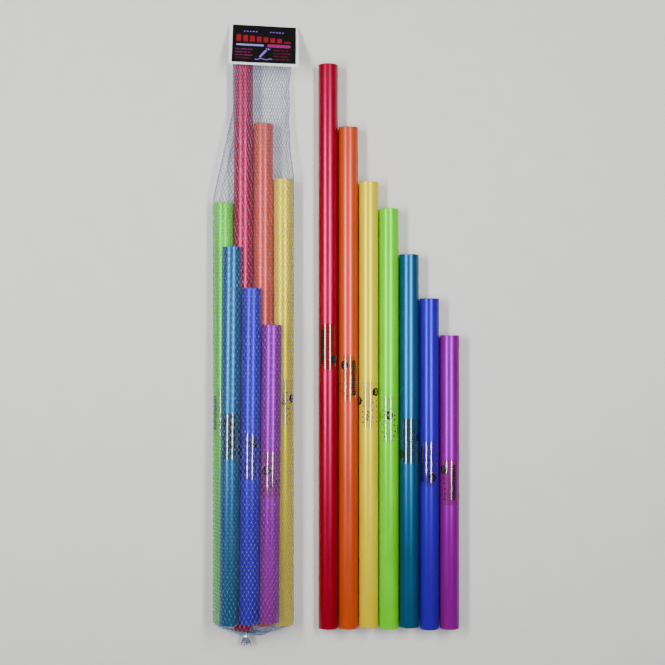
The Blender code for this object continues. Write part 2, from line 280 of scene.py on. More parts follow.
@dataclass(frozen=True)
class ScreenInk(Finish):
    """Screen-printed black ink: opaque and glossy, a little uneven, in pores of 0.8 mm."""
    colour: str = "060608"
    roughness: float = 0.12
    grains: tuple[Grain, ...] = (Grain((0.8, 0.8, 0.8), 2, wear=(0, 0.1)),)


@dataclass(frozen=True)
class NetPolyethylene(Finish):
    """Extruded polyethylene net: pale and milky, in patches about one to a cell.

    A strand is see-through, clearer in its middle than at its edge. A weld is twice as thick, so
    it looks milky and has no cover.
    """
    roughness: float = 0.22
    ior: float = 1.51
    grains: tuple[Grain, ...] = (Grain((9, 16, 9), 2, tint=(0.86, 1.06)),)


@dataclass(frozen=True)
class CoatedBoard(Finish):
    """Bleached carton board: white, calendered, with faint fibres 2.5 mm long."""
    grains: tuple[Grain, ...] = (Grain((0.6, 2.5, 0.6), 4, tint=(0.95, 1), relief=0.01),)


@dataclass(frozen=True)
class OffsetInk(Finish):
    """Offset-printed ink on board: deep colour under a thin varnish that shines little.

    The board's fibre shows faintly through it.
    """
    roughness: float = 0.26
    gloss: float = 0.3
    grains: tuple[Grain, ...] = (Grain((0.6, 2.5, 0.6), 4, tint=(0.9, 1.05), wear=(0, 0.08)),)


@dataclass(frozen=True)
class CrimpedAluminium(Finish):
    """Rolled aluminium strip: bright, scuffed about every 1.2 mm by the crimping tool."""
    metallic: float = 1.0
    grains: tuple[Grain, ...] = (Grain((1.2, 1.2, 1.2), 3, wear=(-0.08, 0.15), relief=0.05),)


@dataclass(frozen=True)
class PaperSweep(Finish):
    """Seamless background paper: pale, matt, very slightly mottled, about every 60 mm."""
    grains: tuple[Grain, ...] = (Grain((60, 60, 60), 3, tint=(0.985, 1)),)


BOARD = CoatedBoard("coated_board", "F9FAF9", 0.42)
PANEL_INK = OffsetInk("offset_ink_black", "060508")
RED_INK = OffsetInk("offset_ink_red", "8E1220")
DARK_RED_INK = OffsetInk("offset_ink_dark_red", "5C122C")
MAGENTA_INK = OffsetInk("offset_ink_magenta", "921A6A")
PLUM_INK = OffsetInk("offset_ink_plum", "741C54")
VIOLET_INK = OffsetInk("offset_ink_violet", "8868C8")
PALE_INK = OffsetInk("offset_ink_pale_blue", "9092D8")
LABEL_INK = ScreenInk("screen_ink_black")
NET = NetPolyethylene("net_polyethylene", "7E96C4", cover=(0.2, 0.66))
WELD = NetPolyethylene("net_polyethylene_weld", "7A90BE")
ALUMINIUM = CrimpedAluminium("crimped_aluminium", "AEC4DA", 0.42)
PAPER = PaperSweep("paper_sweep", "DAD9D6", 0.75)


def linked(name: str, data: bpy.types.ID) -> Object:
    """Put a new object in the scene."""
    made = bpy.data.objects.new(name, data)
    bpy.context.scene.collection.objects.link(made)
    return made


def shown(name: str, mesh: Mesh, finish: Finish) -> Object:
    """Put a mesh in the scene as a piece with one finish, its object at the origin."""
    mesh.materials.clear()
    mesh.materials.append(finish.material())
    return linked(name, mesh)


def seat(piece: Object, body: str, slot: str, *nodes: str) -> None:
    """Let a piece ride on a body and stand for CAD nodes.

    Args:
        piece: the finished piece.
        body: the CAD body that it moves with.
        slot: the record's material slot; not used.
        nodes: the CAD nodes that it replaces, if any.
    """
    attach(piece, body)
    if nodes:
        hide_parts(*nodes)
    LOG.info("%s: %d faces on %s", piece.name, len(piece.data.polygons), body)


def plain_mesh(bm: BMesh, name: str) -> Mesh:
    """Turn a bmesh into a mesh."""
    mesh = bpy.data.meshes.new(name)
    bm.to_mesh(mesh)
    bm.free()
    return mesh


def mesh_of(bm: BMesh, name: str, sharp_above: float = radians(40)
            ) -> Mesh:
    """Turn a bmesh into a smooth-shaded mesh whose faces point outwards."""
    bmesh.ops.recalc_face_normals(bm, faces=bm.faces)
    mesh = plain_mesh(bm, name)
    mesh.shade_smooth()
    mesh.set_sharp_from_angle(angle=sharp_above)
    return mesh


def bridge(bm: BMesh, rings: list[list[bmesh.types.BMVert]]) -> None:
    """Join each closed ring of corners to the next by faces."""
    for here, there in zip(rings, rings[1:]):
        for k in range(len(here)):
            after = (k + 1) % len(here)
            bm.faces.new((here[k], here[after], there[after], there[k]))


def revolved(profile: list[Point2], sides: int) -> BMesh:
    """Turn a closed profile of radius and station round the Y axis.

    Args:
        profile: points of radius and place along Y, in order round the section.
        sides: how many steps make the round.

    Returns:
        A closed ring-shaped bmesh about the origin.
    """
    bm = bmesh.new()
    turns = [TURN * k / sides for k in range(sides)]
    rings = [[bm.verts.new((radius * sin(t), y, -radius * cos(t))) for t in turns]
             for radius, y in profile]
    bridge(bm, rings + rings[:1])
    return bm


@dataclass
class Lie:
    """Where one tube lies: the middle of its axis, the way it points and its length."""
    middle: Vector
    way: Vector
    length: float

    def __post_init__(self) -> None:
        """Work out the stations of the tube's foot and head."""
        half = self.length / 2 * self.way.y
        self.foot, self.head = self.middle.y - half, self.middle.y + half

    def at(self, y: float) -> Vector:
        """The point of the axis at the station y."""
        return self.middle + self.way * ((y - self.middle.y) / self.way.y)

    @property
    def place(self) -> Matrix:
        """The turn and shift from a mesh along Y about the origin to the tube's own place."""
        turn = Vector((0, 1, 0)).rotation_difference(self.way).to_matrix().to_4x4()
        return Matrix.Translation(self.middle) @ turn


def lie_of(note: Note, group: Group) -> Lie:
    """Read from the frame where a tube lies."""
    low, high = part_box(f"tube_loose_{note.word}")
    length = high.y - low.y
    if group is Group.LOOSE:
        return Lie((low + high) / 2, Vector((0, 1, 0)), length)
    joint = next(j for j in frame["joints"] if j["name"] == f"packed_{note.word}_turn")
    return Lie(Vector(joint["pos_m"]), Vector(joint["axis"]).normalized(), length)


@dataclass
class Drawing:
    """Shapes drawn in mm as faces on the plane z = 0; a print says where else they go."""
    bm: BMesh = field(default_factory=bmesh.new, kw_only=True)

    def patch(self, outline: Iterable[Point2]) -> None:
        """Add one filled shape."""
        self.bm.faces.new([self.bm.verts.new((x * MM, y * MM, 0)) for x, y in outline])

    def bar(self, x0: float, x1: float, y0: float, y1: float) -> None:
        """Add an upright bar."""
        self.patch([(x0, y0), (x1, y0), (x1, y1), (x0, y1)])

    def line(self, spots: list[Point2], width: float) -> None:
        """Add a straight stroke from each place to the next."""
        for a, b in zip(map(Vector, spots), map(Vector, spots[1:])):
            side = Vector((a.y - b.y, b.x - a.x)).normalized() * width / 2
            self.patch([a - side, b - side, b + side, a + side])


@dataclass
class LabelPrint(Drawing):
    """The black print on a label film, drawn flat: x runs round the tube, y along it."""
    numeral: int
    radius: float
    facets: int
    disc_radius: float = 9.6 * MM
    disc_sides: int = 40
    numeral_height: float = 15 * MM
    pen: float = 1.8
    bar_widths: tuple[float, ...] = (13, 11, 12.5, 9.5)
    bar_height: float = 3.3

    def numbered_disc(self, x: float, y: float) -> None:
        """Add a black disc with the numeral left open in it, upright along the tube."""
        text = bpy.data.curves.new("numeral", "FONT")
        text.body = str(self.numeral)
        text.size = self.numeral_height
        text.align_x = "CENTER"
        text.align_y = "CENTER"
        text.resolution_u = 4
        holder = linked("numeral", text)
        bpy.context.view_layer.update()
        graph = bpy.context.evaluated_depsgraph_get()
        outline = holder.evaluated_get(graph).to_curve(graph).copy()
        bpy.data.objects.remove(holder)
        edge = outline.splines.new("POLY")
        edge.points.add(self.disc_sides - 1)
        for point, spot in zip(edge.points, ring((0, 0), self.disc_radius, self.disc_sides)):
            point.co = (*spot, 0, 1)
        edge.use_cyclic_u = True
        outline.dimensions = "2D"
        outline.fill_mode = "BOTH"
        disc = bpy.data.objects.new("disc", outline)
        mesh = bpy.data.meshes.new_from_object(disc)
        bpy.data.objects.remove(disc)
        mesh.transform(Matrix.Translation((x * MM, y * MM, 0)))
        self.bm.from_mesh(mesh)
        bpy.data.meshes.remove(mesh)

    def draw(self) -> None:
        """Lay out the whole print: discs, a column like bold type, waves, and small marks."""
        around = TURN * self.radius / MM
        chance = random.Random(self.numeral)
        for turn, y in ((0.0, 29), (0.35, -30), (0.68, 8)):
            self.numbered_disc(around * turn, y)
        for k in range(20):
            half = self.bar_widths[(k * 3 + self.numeral) % len(self.bar_widths)] / 2
            x, y = around * 0.17, -38 + 4 * k
            self.bar(x - half, x + half, y - self.bar_height / 2, y + self.bar_height / 2)
        for turn, y in ((0.5, -6), (0.84, -36)):
            self.line([(around * turn + 3.4 * sin(1.9 * k) + 0.5 * k, y + 2.3 * k)
                       for k in range(11)], self.pen)
        for turn in (0.03, 0.29, 0.62, 0.77):
            for y in range(-40, 20, 12):
                x = around * turn + chance.uniform(-2.5, 2.5)
                if chance.random() < 0.6:
                    self.patch([(x - 2.5, y), (x + 2.5, y), (x, y + 5)])
                else:
                    self.patch(ring((x, y), 2, 12))
        for turn in (0.44, 0.57, 0.93):
            for y in range(-30, 38, 17):
                x, lean = around * turn, chance.uniform(-3, 3)
                self.line([(x - 2.5, y - lean), (x + 2.5, y + lean)], self.pen)

    def wrapped(self, thickness: float, shift: float) -> BMesh:
        """Wrap the drawing round the Y axis as a closed solid of ink that follows the facets.

        Args:
            thickness: how thick the ink is.
            shift: how far the drawing is turned round the tube, as a share of a turn.

        Returns:
            The solid as a bmesh about the origin.
        """
        self.draw()
        bm, around = self.bm, TURN * self.radius
        for k in range(-self.facets // 4, self.facets * 5 // 4):
            bmesh.ops.bisect_plane(bm, geom=bm.verts[:] + bm.edges[:] + bm.faces[:], dist=1e-6,
                                   plane_co=(around * k / self.facets, 0, 0),
                                   plane_no=(1, 0, 0))
        copied = bmesh.ops.duplicate(bm, geom=bm.verts[:] + bm.edges[:] + bm.faces[:])
        lifted = {item for item in copied["geom"] if isinstance(item, bmesh.types.BMVert)}
        twins = {low: high for low, high in copied["vert_map"].items() if high in lifted}
        rims = [e for e in bm.edges if e.is_boundary and all(v in twins for v in e.verts)]
        for vert in lifted:
            vert.co.z = thickness
        for edge in rims:
            a, b = edge.verts
            bm.faces.new((a, b, twins[b], twins[a]))
        turned = TURN * round(shift * self.facets) / self.facets
        for vert in bm.verts:
            turn, reach = vert.co.x / self.radius + turned, self.radius + vert.co.z
            vert.co = Vector((-reach * sin(turn), vert.co.y, -reach * cos(turn)))
        return bm


@dataclass
class TubeWithLabel:
    """One tube of the set and the clear printed film round its middle."""
    note: Note
    group: Group
    outer: float = 22.2 * MM
    wall: float = 1.6 * MM
    lip: float = 0.45 * MM
    film_length: float = 102 * MM
    film_inner: float = 22.24 * MM
    film_outer: float = 22.38 * MM
    ink: float = 0.05 * MM
    sides: int = 96

    def tube_profile(self, length: float) -> list[Point2]:
        """The tube's wall in section, its four rims rounded as a saw cut is when broken."""
        inner, half = self.outer - self.wall, length / 2
        corners = ((self.outer, -half, 1, -1), (self.outer, half, 1, 1),
                   (inner, half, -1, 1), (inner, -half, -1, -1))
        points = []
        for k, (radius, y, out, end) in enumerate(corners):
            arc = [(radius - out * self.lip * (1 - cos(t)), y - end * self.lip * (1 - sin(t)))
                   for t in (pi / 2 * step / 3 for step in range(4))]
            points += arc if k % 2 else arc[::-1]
        return points

    def film_profile(self) -> list[Point2]:
        """The film in section, its outer edges taken off."""
        half, outer = self.film_length / 2, self.film_outer
        edge = (outer - self.film_inner) / 3
        return [(self.film_inner, -half), (outer - edge, -half), (outer, -half + edge),
                (outer, half - edge), (outer - edge, half), (self.film_inner, half)]

    def add(self) -> None:
        """Build the tube, its film and the film's print, and seat them on their body."""
        note, lie = self.note, lie_of(self.note, self.group)
        body = f"{self.group.value}_{note.word}"
        plastic = ExtrudedTube(f"extruded_plastic_{note.word}", note.colour,
                               gloss_hue=note.gloss_hue)
        film = LabelFilm(f"label_film_on_{note.word}", note.colour)
        drawing = LabelPrint(note.numeral, self.film_outer - self.ink / 3, self.sides)
        shift = (0.19 * note.numeral + (0.42 if self.group is Group.PACKED else 0.05)) % 1
        for kind, bm, finish, slot, *nodes in (
                ("sounding_tube", revolved(self.tube_profile(lie.length), self.sides), plastic,
                 f"{note.word}_plastic", f"tube_{body}"),
                ("label_film", revolved(self.film_profile(), self.sides), film,
                 "clear_film", f"label_{body}"),
                ("label_print", drawing.wrapped(self.ink, shift), LABEL_INK, "clear_film")):
            mesh = mesh_of(bm, f"{kind}_{body}")
            mesh.transform(lie.place)
            seat(shown(f"{kind}_{body}", mesh, finish), body, slot, *nodes)


@dataclass
class FoldedCard:
    """The header card, measured on its CAD solid: where it folds and how its flaps lie."""
    middle: Vector
    across: Vector
    out: Vector
    width: float
    height: float
    tilt: float
    radius: float
    back_length: float
    bend_steps: int = 20
    flap_steps: int = 28
    curl_height: float = 0.9 * MM

    @classmethod
    def from_frame(cls, board: float = 0.5 * MM) -> "FoldedCard":
        """Measure the card on its CAD solid.

        Args:
            board: the board's thickness.

        Returns:
            The card's fold and flaps.
        """
        points = [v.co.copy() for v in frame["nodes"]["header_card"].data.vertices]
        top = max(p.z for p in points)
        lip = [p for p in points if p.z > top - 0.02 * MM]
        left, right = min(lip, key=lambda p: p.x), max(lip, key=lambda p: p.x)
        across = Vector((right.x - left.x, right.y - left.y, 0)).normalized()
        out = Vector((-across.y, across.x, 0))
        bend = max(points, key=lambda p: p.dot(out))
        radius = bend.z
        centre = (left + right) / 2
        back = bend.dot(out) - radius - centre.dot(out)
        middle = Vector((centre.x, centre.y, radius)) + out * back
        rise = centre.z - radius
        height = sqrt(back ** 2 + rise ** 2 - radius ** 2)
        tilt = atan2(rise, back) - atan2(radius, height)
        flat = min(points, key=lambda p: p.dot(out) + 1000 * (p.z > board / 2))
        return cls(middle, across, out, (right - left).length, height, tilt, radius,
                   (middle - flat).dot(out))

    @property
    def bend(self) -> float:
        """The length of the bend along its outside."""
        return self.radius * (pi - self.tilt)

    def at(self, a: float, run: float, rise: float) -> Vector:
        """A point over the card's outside.

        Args:
            a: its place across the card.
            run: its distance from the fold down the front flap, less than zero round the bend
                and then along the back flap.
            rise: its height over the bend's axis, or over that axis carried along a flap.

        Returns:
            The point.
        """
        top, up = pi / 2 - self.tilt, Vector((0, 0, 1))
        turn = min(top, max(-pi / 2, top + run / self.radius))
        past = run if run > 0 else min(0.0, run + self.bend)
        normal = self.out * cos(turn) + up * sin(turn)
        ahead = up * cos(turn) - self.out * sin(turn)
        return self.middle + self.across * a + ahead * past + normal * rise

    def curled(self, a: float, run: float, rise: float) -> Vector:
        """A point on the front flap, whose corners curl up by a fraction of a mm."""
        side = abs(a) / (self.width / 2)
        curl = self.curl_height * side ** 4 * (max(0.0, run) / self.height) ** 3
        return self.at(a, run, rise + curl)

    def skew(self, mesh: Mesh, per_length: float = 0.075) -> Mesh:
        """Shift a mesh sideways in step with its distance from the lip: the fold is off square."""
        lip = (self.middle - self.out * self.height * cos(self.tilt)).dot(self.out)
        for vert in mesh.vertices:
            vert.co -= self.across * (max(0.0, vert.co.dot(self.out) - lip) * per_length)
        return mesh


@dataclass
class CardPrint(Drawing):
    """One ink on the card as closed thin solids: x runs across it, y down from the fold.

    The layer is how many layers of ink lie under it. The borders are bare board at the left and
    right of the black ground, and below it at its left and right.
    """
    card: FoldedCard
    layer: int
    ink: float = 0.04 * MM
    sunk: float = 0.4
    cell: float = 12 * MM
    borders_at_fold: Point2 = (8.1 * MM, 4.7 * MM)
    borders_at_lip: Point2 = (6.6 * MM, 5.9 * MM)
    borders_below: Point2 = (5.6 * MM, 7.8 * MM)
    dashes: tuple[tuple[float, ...], ...] = ((9, 14, 12), (16, 8, 5), (7, 7, 21), (12, 19),
                                             (18, 6, 9))

    def patch(self, outline: Iterable[Point2]) -> None:
        """Add one filled shape as a solid that follows the card."""
        base = self.card.radius + (self.layer - self.sunk) * self.ink
        lows, highs = ([self.bm.verts.new(self.card.curled(x * MM, y * MM, rise))
                        for x, y in outline] for rise in (base, base + self.ink))
        self.bm.faces.new(lows)
        self.bm.faces.new(highs[::-1])
        bridge(self.bm, [lows, highs])

    def bar(self, x0: float, x1: float, y0: float, y1: float) -> None:
        """Add a bar in cells small enough to follow the card's curl."""
        across, down = (max(1, ceil((high * MM - low * MM) / self.cell))
                        for low, high in ((x0, x1), (y0, y1)))
        for i in range(across):
            for j in range(down):
                super().bar(lerp(x0, x1, i / across), lerp(x0, x1, (i + 1) / across),
                            lerp(y0, y1, j / down), lerp(y0, y1, (j + 1) / down))

    def pill(self, x0: float, x1: float, y0: float, y1: float) -> None:
        """Add a bar with round ends."""
        radius, middle = (y1 - y0) / 2, (y0 + y1) / 2
        outline = []
        for centre, start in ((x1 - radius, -pi / 2), (x0 + radius, pi / 2)):
            for turn in (start + pi * k / 8 for k in range(9)):
                outline.append((centre + radius * cos(turn), middle + radius * sin(turn)))
        self.patch(outline)

    def ground(self) -> None:
        """The black ground, askew, from under the fold to the lip, with bare board round it."""
        card, steps = self.card, self.card.flap_steps

        def spot(i: int, j: int) -> Point2:
            """A corner of the ground's cells, its row less than zero round the bend."""
            left, right = (card.width / 2 - lerp(fold, lip, max(0, j) / steps)
                           for fold, lip in zip(self.borders_at_fold, self.borders_at_lip))
            low = card.height - lerp(*self.borders_below, i / steps)
            run = low * j / steps if j >= 0 else card.bend * j / card.bend_steps
            return lerp(-left, right, i / steps) / MM, run / MM

        for i in range(steps):
            for j in range(-card.bend_steps, steps):
                self.patch([spot(i, j), spot(i + 1, j), spot(i + 1, j + 1), spot(i, j + 1)])

    def scale(self) -> None:
        """A row of upright bars that step down in length like the tubes, and a low one."""
        for k in range(7):
            x = -62 + 15.5 * k
            self.bar(x, x + 10.5, 27 + 1.3 * k, 47)
        self.bar(46.5, 62, 42.5, 47)

    def lines(self, start: float, rows: range, top: float) -> None:
        """Rows of plain dashes, each row broken in its own way."""
        for k in rows:
            x, y = start, top + 8.5 * (k - rows.start)
            for length in self.dashes[k]:
                self.bar(x, x + length, y, y + 3)
                x += length + 2.4

    def dots(self) -> None:
        """Two rows of small dots and dashes near the fold."""
        for start in (-44, 16):
            for k in range(5):
                x = start + 7 * k
                if k % 2:
                    self.bar(x - 2.6, x + 2.6, 15.8, 18.2)
                else:
                    self.patch(ring((x, 17), 1.7, 20))

    def struck_tube(self) -> None:
        """A leaning tube, the strokes of its ring and a wavy ground line under it."""
        self.line([(-9, 91), (6, 70)], 5)
        for k in range(3):
            lean = radians(-20 + 32 * k)
            hub, ray = Vector((9, 72)), Vector((sin(lean), -cos(lean)))
            self.line([hub + ray * 4, hub + ray * 9], 2)
        self.line([(x, 96 + 1.6 * sin(x / 3.2)) for x in range(-20, 21, 2)], 2.2)


@dataclass
class HeaderCard:
    """The folded board over the mouth of the net, and its printed front."""
    card: FoldedCard
    board: float = 0.5 * MM
    columns: int = 40

    def board_mesh(self) -> Mesh:
        """Build the board: a flat back flap, a round bend and a rising front flap."""
        card, steps, columns = self.card, self.card.flap_steps, self.columns
        path = [-card.bend - card.back_length * (1 - k / steps) for k in range(steps)]
        path += [card.bend * (k / card.bend_steps - 1) for k in range(card.bend_steps + 1)]
        path += [card.height * k / steps for k in range(1, steps + 1)]
        section = [(card.width * (c / columns - 0.5), card.radius) for c in range(columns + 1)]
        section += [(a, rise - self.board) for a, rise in section[::-1]]
        bm = bmesh.new()
        rings = [[bm.verts.new(card.curled(a, run, rise)) for a, rise in section] for run in path]
        bridge(bm, rings)
        for end in (rings[0], rings[-1]):
            for c in range(columns):
                bm.faces.new((end[c], end[c + 1], end[-2 - c], end[-1 - c]))
        return mesh_of(bm, "header_card_board", radians(35))

    def add(self) -> None:
        """Build the board and each ink of its print, and seat them on the bag."""
        board = shown("header_card_board", self.card.skew(self.board_mesh()), BOARD)
        seat(board, "bag", "card_board", "header_card")
        inks: list[tuple[str, int, Finish, Callable[[CardPrint], None]]] = [
            ("ground", 0, PANEL_INK, CardPrint.ground),
            ("scale", 1, RED_INK, CardPrint.scale),
            ("pill", 1, MAGENTA_INK, lambda ink: ink.pill(8, 62, 52, 61)),
            ("rule", 1, PALE_INK, lambda ink: ink.bar(-62, 0, 54, 59)),
            ("lines_left", 1, PLUM_INK, lambda ink: ink.lines(-64, range(0, 3), 68)),
            ("lines_low", 1, DARK_RED_INK, lambda ink: ink.lines(-64, range(3, 4), 93.5)),
            ("lines_right", 1, DARK_RED_INK, lambda ink: ink.lines(22, range(1, 5), 68)),
            ("dots", 1, VIOLET_INK, CardPrint.dots),
            ("figure", 1, VIOLET_INK, CardPrint.struck_tube)]
        for name, layer, finish, draw in inks:
            ink = CardPrint(self.card, layer)
            draw(ink)
            mesh = self.card.skew(mesh_of(ink.bm, f"card_print_{name}"))
            seat(shown(f"card_print_{name}", mesh, finish), "bag", "card_board")


def hull(points: Iterable[Point2]) -> list[Point2]:
    """The convex outline round points, from the leftmost over the top."""
    ordered = sorted(set(points))

    def chain(run: list[Point2]) -> list[Point2]:
        """Keep the points of a run that the outline turns at."""
        kept: list[Point2] = []
        for x, z in run:
            while len(kept) > 1:
                (ax, az), (bx, bz) = kept[-2:]
                if (bx - ax) * (z - az) - (bz - az) * (x - ax) < 0:
                    break
                kept.pop()
            kept.append((x, z))
        return kept

    return chain(ordered)[:-1] + chain(ordered[::-1])[:-1]


def spread(outline: list[Point2], count: int, phase: float) -> list[Point2]:
    """Points at even steps along a closed outline, the first a phase of a step along."""
    closed = np.array(outline + outline[:1])
    stops = np.append(0, np.hypot(*np.diff(closed, axis=0).T).cumsum())
    runs = stops[-1] * (np.arange(count) + phase) / count
    return list(zip(*(np.interp(runs, stops, column).tolist() for column in closed.T)))


@dataclass
class NetSleeve:
    """The net: two families of strands that wind opposite ways and are welded where they cross."""
    card: FoldedCard
    cells: int = 50
    cell_length: float = 16.3 * MM
    strand: float = 0.95 * MM
    strand_sides: int = 4
    offset_share: float = 0.16
    joint_width: float = 1.3 * MM
    joint_length: float = 2.9 * MM
    joint_height: float = 1.2 * MM
    film_radius: float = 22.4 * MM
    gap: float = 0.15 * MM
    end_gap: float = 1.4 * MM
    head_reach: float = 10 * MM
    step_taper: float = 130 * MM
    shoulder_taper: float = 200 * MM
    mouth_width: float = 123 * MM
    mouth_shift: float = 5.9 * MM
    waist: float = 8 * MM
    card_rows: int = 11
    fold_gap: float = 6 * MM
    flap_gap: float = 0.7 * MM
    foot_share: float = 0.06
    belly_rows: int = 7
    belly_sag: float = 9 * MM
    belly_at: float = 38 * MM
    belly_half: float = 26 * MM
    neck_radius: float = 4.4 * MM
    neck_margin: float = 0.5 * MM
    neck_thickness: float = 0.5
    tuft_rows: int = 4
    tuft_locks: int = 17
    tuft_length: float = 20 * MM
    tuft_size: Point2 = (28 * MM, 17 * MM)
    tuft_droop: float = 4 * MM
    feet_fade: float = 8 * MM
    slack_start: float = 12 * MM
    slack_fade: float = 80 * MM
    mouth_fade: float = 20 * MM
    wander: Point2 = (0.25 * MM, 0.3 * MM)
    waves: Point2 = (17 * MM, 41 * MM)
    sway: float = 1.6 * MM
    sag: float = 3.5 * MM
    sag_above: float = 12 * MM
    ripple: float = 3.2 * MM
    ripple_wave: float = 6 * MM
    ripple_at: float = 75 * MM
    ripple_fade: float = 35 * MM
    seed: int = 5

    def __post_init__(self) -> None:
        """Read the tubes and the clip from the frame, and bunch the strands for the neck."""
        self.lies = {note: lie_of(note, Group.PACKED) for note in Note}
        self.longest = self.lies[Note.RED]
        self.level = self.longest.middle.z
        low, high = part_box("net_clip")
        self.clip = (low + high) / 2
        self.clip_half = (high.y - low.y) / 2
        self.reach = self.film_radius + self.gap + self.strand
        self.floor = self.strand * 0.75
        self.chance = random.Random(self.seed)
        self.shells = [self.neck_radius * sqrt(self.chance.uniform(0.08, 1))
                       for _ in range(self.cells)]
        self.rows: list[list[Vector]] = []
        self.weights: list[float] = []

    @property
    def phase(self) -> float:
        """How far the next row is shifted round the net, in cells: every other one by a half."""
        return 0.5 * (len(self.rows) % 2)

    def keep(self, row: list[Vector], weight: float = 1.0) -> None:
        """Add a row of crossings, whose strands are so thick for their size."""
        self.rows.append(row)
        self.weights.append(weight)

    def circles(self, y: float) -> list[Point3]:
        """What holds the net open at a station: an x, a z and a radius for each support."""
        mouth_right = self.card.middle.x - self.mouth_shift + self.mouth_width / 2
        found = []
        for note, lie in self.lies.items():
            centre = lie.at(min(max(y, lie.foot), lie.head))
            past = y - lie.head - self.head_reach
            radius = self.reach
            if past > 0 and note in FRONT_LAYER:
                share = past / self.step_taper
                centre.z = lerp(centre.z, self.level, smooth(share))
                if share >= 1:
                    continue
            elif past > 0 and note is BACK_LAYER[0]:
                share = min(1.0, past / self.shoulder_taper)
                centre.x = lerp(centre.x, self.longest.middle.x, share)
            elif past > 0 and note is not Note.RED:
                share = min(1.0, past / (self.longest.head - lie.head - self.head_reach))
                radius = lerp(self.reach, self.reach / 3, share)
                if note is BACK_LAYER[-1]:
                    right = lerp(centre.x + self.reach, mouth_right, share)
                    centre.x = right - self.waist * sin(pi * share) - radius
                centre.z = self.level - self.reach + radius
            found.append((centre.x, centre.z, radius))
        return found

    def loop(self, y: float) -> list[Vector]:
        """One full row of crossings at a station, tight round the tubes and flat on the floor."""
        points = []
        for x, z, radius in self.circles(y):
            points += ring((x, z), radius, 72)
            points += [(x - radius * 0.25, self.floor), (x + radius * 0.25, self.floor)]
        outline = hull((round(x, 7), round(max(z, self.floor), 7)) for x, z in points)
        return [Vector((x, y, z)) for x, z in spread(outline, self.cells, self.phase)]

    def mouth_row(self) -> list[Vector]:
        """A row laid flat between the card's flaps near the fold."""
        row = []
        for k in range(self.cells):
            run = 2 * (k + self.phase) / self.cells
            side = min(1.0, 12 * min(run, abs(1 - run), 2 - run)) * (1 if run < 1 else -1)
            a = self.mouth_width * (min(run, 2 - run) - 0.5) - self.mouth_shift
            upper = self.card.at(a, self.fold_gap, self.flap_gap)
            lower = self.card.at(a, -self.card.bend - self.fold_gap, self.flap_gap)
            row.append(lower.lerp(upper, (side + 1) / 2))
        return row

    def foot_line(self, x: float) -> float:
        """The station where the net leaves the tubes' feet, read across the back layer."""
        stops = [(self.lies[note].middle.x, self.lies[note].foot) for note in BACK_LAYER]
        return float(np.interp(x, *zip(*stops)))

    def clear_of_feet(self, place: Vector) -> Vector:
        """Push a point of the net's closed foot out past the ends of the tubes near it."""
        for lie in self.lies.values():
            axis = lie.at(lie.foot)
            off = hypot(place.x - axis.x, place.z - axis.z) - self.film_radius
            hold = 1 - smooth(off / self.feet_fade)
            limit = lie.foot - self.end_gap
            if hold > 0 and place.y > limit:
                place.y = lerp(place.y, limit, hold)
        return place

    def lay_body(self) -> None:
        """Lay the rows from the card's flat mouth along the bundle to the tubes' feet."""
        start = self.longest.head + self.end_gap
        for k in range(self.card_rows):
            share = k / self.card_rows
            row = [flat.lerp(full, share) for flat, full in zip(self.mouth_row(), self.loop(start))]
            for place in row:
                place.z = max(self.floor, place.z)
            self.keep(row, lerp(0.8, 1, share))
        last = self.foot_line(self.lies[Note.GREEN].middle.x)
        count = round((start - last) / (self.cell_length / 2))
        for k in range(count + 1):
            share = k / count
            row = self.loop(lerp(start, last, share))
            for place in row:
                ease = smooth((share - 1 + self.foot_share) / self.foot_share)
                place.y += (self.foot_line(place.x) - last) * ease
            self.keep(row)

    def turn_of(self, k: float) -> float:
        """The turn round the clip of the crossing that lies k cells round the net."""
        return pi - TURN * k / self.cells

    def bunched(self, turn: float, y: float, width: float, depth: float) -> Vector:
        """A place about the clip's axis."""
        return Vector((self.clip.x + width * cos(turn), y,
                       self.clip.z + depth * sin(turn)))

    def neck_row(self, y: float) -> list[Vector]:
        """One full row in the bunch that the clip holds."""
        return [self.bunched(self.turn_of(k + self.phase), y, shell, shell)
                for k, shell in enumerate(self.shells)]

    def lay_foot(self) -> None:
        """Draw the net over the tubes' ends to the clip, through it and out as a tuft."""
        neck_head = self.clip.y + self.clip_half + self.neck_margin
        neck_foot = self.clip.y - self.clip_half - self.neck_margin
        for r in range(1, self.belly_rows + 1):
            share = r / (self.belly_rows + 1)
            row = []
            for edge, neck in zip(self.loop(self.longest.foot), self.neck_row(neck_head)):
                edge.y = self.foot_line(edge.x) - self.end_gap * share
                place = edge.lerp(neck, share ** 0.9)
                right = (place.x - self.clip.x - self.belly_at) / self.belly_half
                place.y -= self.belly_sag * sin(pi * share) * exp(-right ** 2)
                row.append(self.clear_of_feet(place))
            self.keep(row, lerp(1, 0.8, share))
        for y in (neck_head, self.clip.y, neck_foot):
            self.keep(self.neck_row(y), self.neck_thickness)
        self.lay_tuft(neck_foot)

